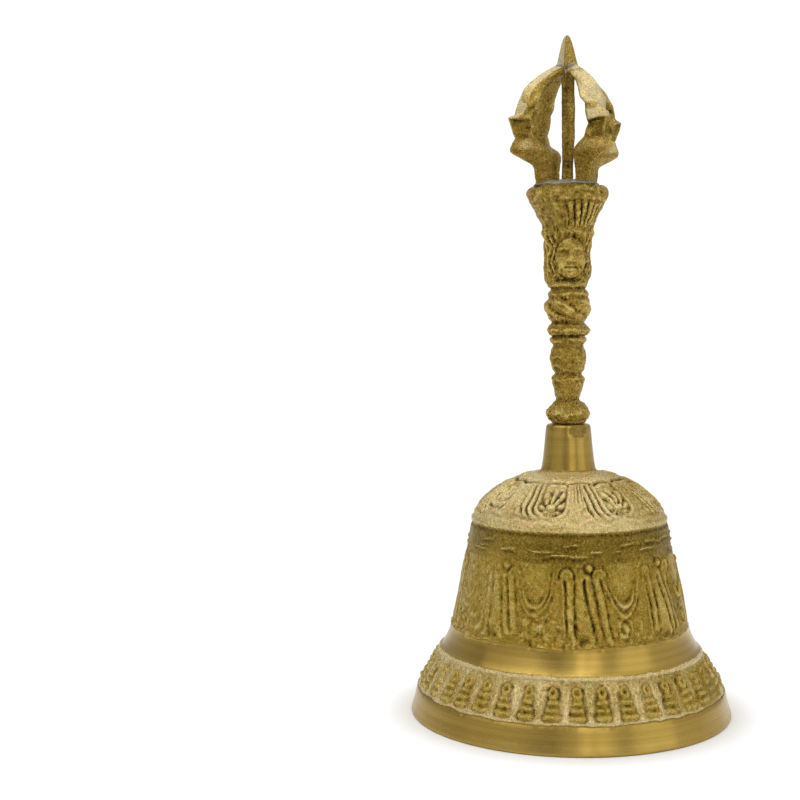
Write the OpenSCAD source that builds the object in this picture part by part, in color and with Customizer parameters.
// Hand bell with a lathe-turned brass shell, a cast baluster handle,
// a four-pronged crown around a centre prong, and a loose clapper inside.
// Millimetres, +Z up, the mouth rests on z = 0, the axis is x = y = 0, the front is -Y.

/* [Shell] */
// Outer radius of the mouth at the table
mouth_r = 40.5; // [39:0.1:42]
// Wall thickness between lip and shoulder
wall = 3.1; // [2.8:0.1:3.4]
// Height of the top of the shell, where the collar begins
dome_top_z = 60.8; // [60.4:0.1:61.4]
// Radius of the collar at its foot
collar_low_r = 6.9; // [6.4:0.1:7.4]
// Radius of the collar at its top
collar_top_r = 5.6; // [5.2:0.1:6]
// Height of the top of the collar
collar_top_z = 73.2; // [72.4:0.1:74]
// Number of bead columns in the border
border_count = 39; // [36:1:44]
// Number of lotus petals on the dome
petal_count = 8; // [6:1:10]
// Turn of the first petal from the front
petal_turn = -11; // [-22:1:22]
// Number of hanging tassels in the garland
tassel_count = 8; // [6:1:10]
// Turn of the first tassel from the front
tassel_turn = 9; // [-22:1:22]

/* [Handle] */
// Radius of the cup's rim
cup_r = 10.2; // [9.8:0.1:10.8]
// Height of the cup's flat top
cup_top_z = 133; // [132.6:0.1:133.4]
// Number of flutes round the cup
flute_count = 14; // [10:1:18]

/* [Crown] */
// Turn of the crown from the front
crown_turn = 38; // [0:1:89]
// Width of a prong at its widest
prong_w = 5; // [4:0.1:5.6]
// Width of a prong at its foot
foot_w = 3.4; // [2.8:0.1:3.8]
// Radius of the centre rod at its foot
rod_low_r = 1.45; // [1.3:0.05:1.6]
// Radius of the centre rod at its top
rod_top_r = 1.7; // [1.5:0.05:1.8]
// Height of the spike's tip
tip_z = 170.6; // [169:0.1:172]

/* [Clapper] */
// Radius of the clapper's bob
bob_r = 6.5; // [5.5:0.1:7]
// Height of the bob's centre
bob_z = 12.5; // [11.5:0.1:14]
// Wire radius of the eye bolt's eye and of the clapper rod
eye_wire_r = 0.9; // [0.8:0.05:1]
// Wire radius of the loose link
link_wire_r = 0.7; // [0.6:0.05:0.75]

/* [Hidden] */

brass_turned = [0.80, 0.66, 0.33];
brass_cast = [0.66, 0.57, 0.32];
solder_grey = [0.66, 0.66, 0.63];
steel_grey = [0.60, 0.60, 0.61];
iron_grey = [0.36, 0.35, 0.34];

crown_in_z = 57;                      // underside of the crown, where the washer bears
bolt_r = 2;                           // shank of the eye bolt
slip = 0.05;                          // radial play of a pin in its bore
bolt_bore_r = bolt_r + slip;          // bore through the collar and into the handle
bolt_top_z = 92;                      // upper end of the shank, inside the handle
washer_t = 1;
washer_r = 5.5;
nut_h = 3.2;
nut_flat = 7;                         // across the flats
nut_low_z = crown_in_z - washer_t - nut_h;
eye_ring_r = 3.6;                     // centre-line radius of the eye
eye_z = nut_low_z - 1.2 - eye_wire_r - eye_ring_r;
hook_gap = 0.3;                       // air between two hanging wires
hook = eye_wire_r + link_wire_r + hook_gap;
link_r = 2.7;                         // centre-line radius of the link's two ends
link_side = 2.2;                      // straight side of the link
link_top_z = eye_z - eye_ring_r + hook;
link_low_z = link_top_z - 2 * link_r - link_side;
rod_eye_r = 2.6;                      // centre-line radius of the eye in the clapper rod
rod_eye_z = link_low_z + hook - rod_eye_r;
rod_r = 1.2;                          // clapper rod, which the bob is threaded on
bob_low_z = bob_z - bob_r;
prong_az = [for (step = [0, 86, 180, 259]) crown_turn + step];  // set a little unevenly by hand

// points of a circular arc from a to b that bulges by s to the left of the way from a to b
function bow(a, b, s, n = 6) =
  let (d = b - a, h = norm(d) / 2, r = (h * h + s * s) / (2 * s),
    m = (a + b) / 2, u = [-d[1], d[0]] / (2 * h), c = m + u * (s - r),
    a0 = atan2(a[1] - c[1], a[0] - c[0]), a1 = atan2(b[1] - c[1], b[0] - c[0]),
    w = a1 - a0, t = w > 180 ? w - 360 : (w < -180 ? w + 360 : w))
  [for (i = [0:n]) c + abs(r) * [cos(a0 + t * i / n), sin(a0 + t * i / n)]];

// points of a cubic curve
function bez(a, b, c, d, n = 8) =
  [for (i = [0:n]) let (t = i / n, s = 1 - t)
    s * s * s * a + 3 * s * s * t * b + 3 * s * t * t * c + t * t * t * d];

// radius of the shell's outside between waist and shoulder, and in the border
wall_slope = 0.19;
wall_tilt = atan(wall_slope);
border_ends = [7, 15];
function wall_r(z) = 29.9 - (z - 22.6) * wall_slope;
function border_r(z) = 38.5 - 0.50 * (z - border_ends[0])
  - 0.022 * (z - border_ends[0]) * (border_ends[1] - z);

// heights of the ornament
bead_z = [12.9, 9.4];
knob_z = 39.4;
cord_z = 24.4;
cord_h = 13.1;
swag_z = 36.4;

// the spike's corner radius against height
spike = [[2.9, 162.9], [2.25, 165.1], [1.6, 168], [0.25, tip_z]];

module turned(points) {
  rotate_extrude($fn = 96)
    polygon(points);
}

module bell_shell() {
  turned(concat(
    [[mouth_r - wall - 0.3, 0], [mouth_r - 0.2, 0], [mouth_r, 0.3]],
    bow([mouth_r - 0.1, 0.8], [38.9, 6.6], -0.12, 4),
    bow([38.3, 7], [33.5, 15.4], 0.5, 8),
    [[33.75, 15.7], [33.5, 16.4], [32.85, 16.6]],
    bow([32.75, 16.8], [30.15, 22.2], 0.45, 8),
    [[30.35, 22.5]],
    [[29.9, 22.9], [26.3, 41.6]],
    bow([26.55, 41.8], [26.4, 42.5], -0.15, 3),
    [[26.05, 42.7], [24.85, 48.9]],
    bow([25.15, 49.1], [24.85, 50], -0.2, 3),
    bez([24.3, 50.1], [22.2, 54.4], [16.6, 58.9], [11.4, dome_top_z - 0.2], 12),
    [[collar_low_r + 1.1, dome_top_z]],
    bow([collar_low_r + 0.6, dome_top_z + 0.15], [collar_low_r, dome_top_z + 0.9], 0.15, 3),
    bow([6.45, 64.6], [collar_top_r, collar_top_z - 0.5], 0.12, 4),
    [[collar_top_r - 0.4, collar_top_z], [bolt_bore_r, collar_top_z]],
    [[bolt_bore_r, crown_in_z], [9, crown_in_z]],
    bez([9, crown_in_z], [15, 56.6], [19.6, 54.2], [21.6, 48.6], 10),
    [[27, 22.4]],
    bow([27.1, 22], [mouth_r - wall - 0.8, 4.4], -0.6, 10)
  ));
}

// one column of the border: a small bead over a larger one
module border_column() {
  translate([border_r(bead_z[0]) + 0.1, 0, bead_z[0]])
    sphere(r = 1.25, $fn = 24);
  translate([border_r(bead_z[1]) - 0.1, 0, bead_z[1]])
    sphere(r = 1.75, $fn = 24);
}

// a hanging tassel: a knob with four cords that spread downwards on the wall
module tassel() {
  translate([wall_r(knob_z) - 0.1, 0, knob_z])
    sphere(r = 1.3, $fn = 24);
  for (side = [-1.5, -0.5, 0.5, 1.5])
    translate([wall_r(cord_z) - 0.1 - 0.1 * side * side, side * 2.5, cord_z])
      rotate([side * 4.2, -wall_tilt, 0])
        cylinder(h = cord_h, r1 = 0.9, r2 = 0.6, $fn = 16);
}

// a swag between two tassels: a half ring laid on the wall
module swag() {
  translate([wall_r(swag_z) - 0.3, 0, swag_z])
    rotate([0, -wall_tilt, 0])
      rotate([90, 180, 90])
        rotate_extrude(angle = 180, $fn = 64)
          translate([4.7, 0])
            circle(r = 0.75, $fn = 24);
}

// a round-ended lotus petal as a low bulge of the dome
module petal() {
  translate([18.9, 0, 56.2])
    rotate([0, 39, 0])
      scale([1, 0.8, 0.2])
        sphere(r = 4.7, $fn = 32);
}

module bell_body() {
  color(brass_turned) {
    bell_shell();
    for (i = [0:border_count - 1])
      rotate(360 * i / border_count)
        border_column();
    for (i = [0:tassel_count - 1])
      rotate(360 * i / tassel_count + tassel_turn - 90)
        tassel();
    for (i = [0:tassel_count - 1])
      rotate(360 * (i + 0.5) / tassel_count + tassel_turn - 90)
        swag();
    for (i = [0:petal_count - 1])
      rotate(360 * i / petal_count + petal_turn - 90)
        petal();
  }
}

module stem_turning() {
  difference() {
    turned(concat(
      [[0, collar_top_z], [4, collar_top_z], [4.2, 73.7]],
      bow([4.3, 73.8], [4.3, 78], -1.3, 8),
      [[3.2, 79.2], [3.05, 80]],
      bow([3.3, 81.6], [4.05, 84], -0.1, 3),
      [[4.05, 84.9], [3.55, 85.5], [3.55, 86.3]],
      bow([3.9, 87], [3.9, 93], -0.8, 8),
      [[4.4, 93.8], [4.4, 95.2], [4.85, 95.6]],
      bow([4.9, 95.9], [4.6, 98.2], -0.4, 4),
      bow([4.4, 99.2], [4.5, 106.1], -0.95, 8),
      [[4.35, 106.6], [4.35, 107.4]],
      [[4.8, 108.2], [4.9, 121.6], [6.05, 122.3]],
      bow([6.1, 122.4], [9, 129], 0.25, 6),
      bow([9.3, 129.2], [cup_r, 131.1], -0.2, 3),
      bow([cup_r, 131.6], [9.3, cup_top_z], -0.25, 3),
      [[0, cup_top_z]]
    ));
    translate([0, 0, collar_top_z - 1])
      cylinder(h = bolt_top_z + 1.8 - collar_top_z, r = bolt_bore_r, $fn = 48);
    translate([0, 0, cup_top_z - 3])
      cylinder(h = 4, r = rod_low_r + slip, $fn = 48);
  }
}

// a plain calm mask in low relief, one on the front and one on the back
module stem_mask() {
  translate([0, -4.1, 115])
    scale([0.86, 0.42, 1.25])
      sphere(r = 4.2, $fn = 32);
  translate([0, -5.55, 114.4])
    scale([0.5, 0.55, 1.3])
      sphere(r = 1.1, $fn = 20);
  for (side = [-1, 1])
    translate([side * 4.5, -1.8, 118])
      sphere(r = 1.5, $fn = 24);
}

module handle_stem() {
  color(brass_cast) {
    stem_turning();
    for (turn = [0, 180])
      rotate(turn)
        stem_mask();
    for (i = [0:flute_count - 1])
      rotate(360 * i / flute_count)
        translate([6.35, 0, 123])
          rotate([0, 23, 0])
            cylinder(h = 6.2, r1 = 0.5, r2 = 0.85, $fn = 16);
  }
}

module centre_prong() {
  color(brass_cast) {
    translate([0, 0, cup_top_z - 2.8])
      cylinder(h = 163.2 - cup_top_z + 2.8, r1 = rod_low_r, r2 = rod_top_r, $fn = 48);
    rotate(10)
      for (i = [0:2])
        translate([0, 0, spike[i][1]])
          cylinder(h = spike[i + 1][1] - spike[i][1], r1 = spike[i][0], r2 = spike[i + 1][0], $fn = 4);
  }
}

// side outline of a prong: radius to the right, height upwards
module prong_side() {
  polygon(concat(
    bez([2, 162.6], [7.6, 161.8], [13.6, 157.6], [14.4, 150.6], 12),
    [[15.7, 149.9], [16, 149.1]],
    bow([15.8, 147.6], [14.3, 144.4], -0.15, 3),
    [[15.4, 142.6], [15.5, 141.3]],
    bow([14.8, 140.9], [9.8, 138], 0.3, 4),
    [[8.9, 134.4], [9, cup_top_z], [5.6, cup_top_z]],
    [[5.2, 140.6]],
    bow([6.4, 141.9], [10.5, 144.6], -0.2, 4),
    bow([10.7, 147], [10.2, 151.4], -0.2, 4),
    [[8.9, 152.9], [9, 154.2]],
    bow([8.6, 155.4], [2, 160.4], 0.6, 5)
  ));
}

// front outline of a prong: narrow at the top, wide at the barbs, waisted at the foot
module prong_front_outline() {
  polygon(concat(
    [[foot_w / 2, cup_top_z - 1], [foot_w / 2, 139]],
    [[prong_w / 2, 141.6], [prong_w / 2, 151], [1.5, 163]],
    [[-1.5, 163], [-prong_w / 2, 151], [-prong_w / 2, 141.6]],
    [[-foot_w / 2, 139], [-foot_w / 2, cup_top_z - 1]]
  ));
}

module prong(turn) {
  rotate(turn - 90)
    intersection() {
      rotate([90, 0, 0])
        linear_extrude(height = 8, center = true)
          prong_side();
      rotate([90, 0, 90])
        linear_extrude(height = 20)
          prong_front_outline();
    }
}

module prong_front() {
  color(brass_cast)
    prong(prong_az[0]);
}

module prong_right() {
  color(brass_cast)
    prong(prong_az[1]);
}

module prong_back() {
  color(brass_cast)
    prong(prong_az[2]);
}

module prong_left() {
  color(brass_cast)
    prong(prong_az[3]);
}

// solder that joins the four prongs and the centre rod under the spike
module crown_solder() {
  color(solder_grey)
    difference() {
      turned(concat(
        [[1.72, 160.6], [2.6, 160.5]],
        bow([3.2, 160.9], [2.4, 162.9], -0.45, 6),
        [[1.72, 162.9]]
      ));
      for (turn = prong_az)
        prong(turn);
    }
}

// solder that holds the feet and the rod on the cup
module cup_solder() {
  color(solder_grey)
    difference() {
      turned(concat(
        [[1.5, cup_top_z]],
        bow([8.3, cup_top_z], [3, 134.3], -0.25, 6),
        [[1.55, 134.9]]
      ));
      for (turn = prong_az)
        prong(turn);
    }
}

module ring(ring_r, wire_r) {
  rotate_extrude($fn = 64)
    translate([ring_r, 0])
      circle(r = wire_r, $fn = 32);
}

module eye_bolt() {
  color(steel_grey) {
    translate([0, 0, nut_low_z - 2.2])
      cylinder(h = bolt_top_z - nut_low_z + 2.2, r = bolt_r, $fn = 48);
    translate([0, 0, eye_z])
      rotate([90, 0, 0])
        ring(eye_ring_r, eye_wire_r);
  }
}

module crown_washer() {
  color(steel_grey)
    translate([0, 0, crown_in_z - washer_t])
      difference() {
        cylinder(h = washer_t, r = washer_r, $fn = 64);
        translate([0, 0, -1])
          cylinder(h = washer_t + 2, r = bolt_r + 0.15, $fn = 48);
      }
}

module hex_nut() {
  color(steel_grey)
    translate([0, 0, nut_low_z])
      difference() {
        cylinder(h = nut_h, r = nut_flat / sqrt(3), $fn = 6);
        translate([0, 0, -1])
          cylinder(h = nut_h + 2, r = bolt_bore_r, $fn = 48);
      }
}

// an oval wire link in the plane x = 0
module clapper_link() {
  color(steel_grey) {
    for (side = [-1, 1])
      translate([0, side * link_r, link_low_z + link_r])
        cylinder(h = link_side, r = link_wire_r, $fn = 32);
    translate([0, 0, link_low_z + link_r + link_side])
      rotate([90, 0, 90])
        rotate_extrude(angle = 180, $fn = 64)
          translate([link_r, 0])
            circle(r = link_wire_r, $fn = 32);
    translate([0, 0, link_low_z + link_r])
      rotate([-90, 0, -90])
        rotate_extrude(angle = 180, $fn = 64)
          translate([link_r, 0])
            circle(r = link_wire_r, $fn = 32);
  }
}

module clapper_rod() {
  color(iron_grey) {
    translate([0, 0, rod_eye_z])
      rotate([90, 0, 0])
        ring(rod_eye_r, eye_wire_r);
    translate([0, 0, bob_low_z - 0.5])
      cylinder(h = rod_eye_z - rod_eye_r - bob_low_z + 0.7, r = rod_r, $fn = 32);
    translate([0, 0, bob_low_z - 1.1])
      cylinder(h = 0.9, r1 = 1.4, r2 = 2.2, $fn = 32);
  }
}

module clapper_bob() {
  color(brass_turned)
    turned(concat(
      [[rod_r + slip, bob_low_z - 0.2], [2.4, bob_low_z - 0.2]],
      bow([3.2, bob_low_z + 0.1], [4.4, bob_z + 5.2], -3.05, 14),
      bow([2.9, bob_z + 6.4], [1.9, bob_z + 9.4], 0.2, 4),
      [[rod_r + slip, bob_z + 9.4]]
    ));
}

bell_body();
handle_stem();
centre_prong();
prong_front();
prong_right();
prong_back();
prong_left();
crown_solder();
cup_solder();
eye_bolt();
crown_washer();
hex_nut();
clapper_link();
clapper_rod();
clapper_bob();
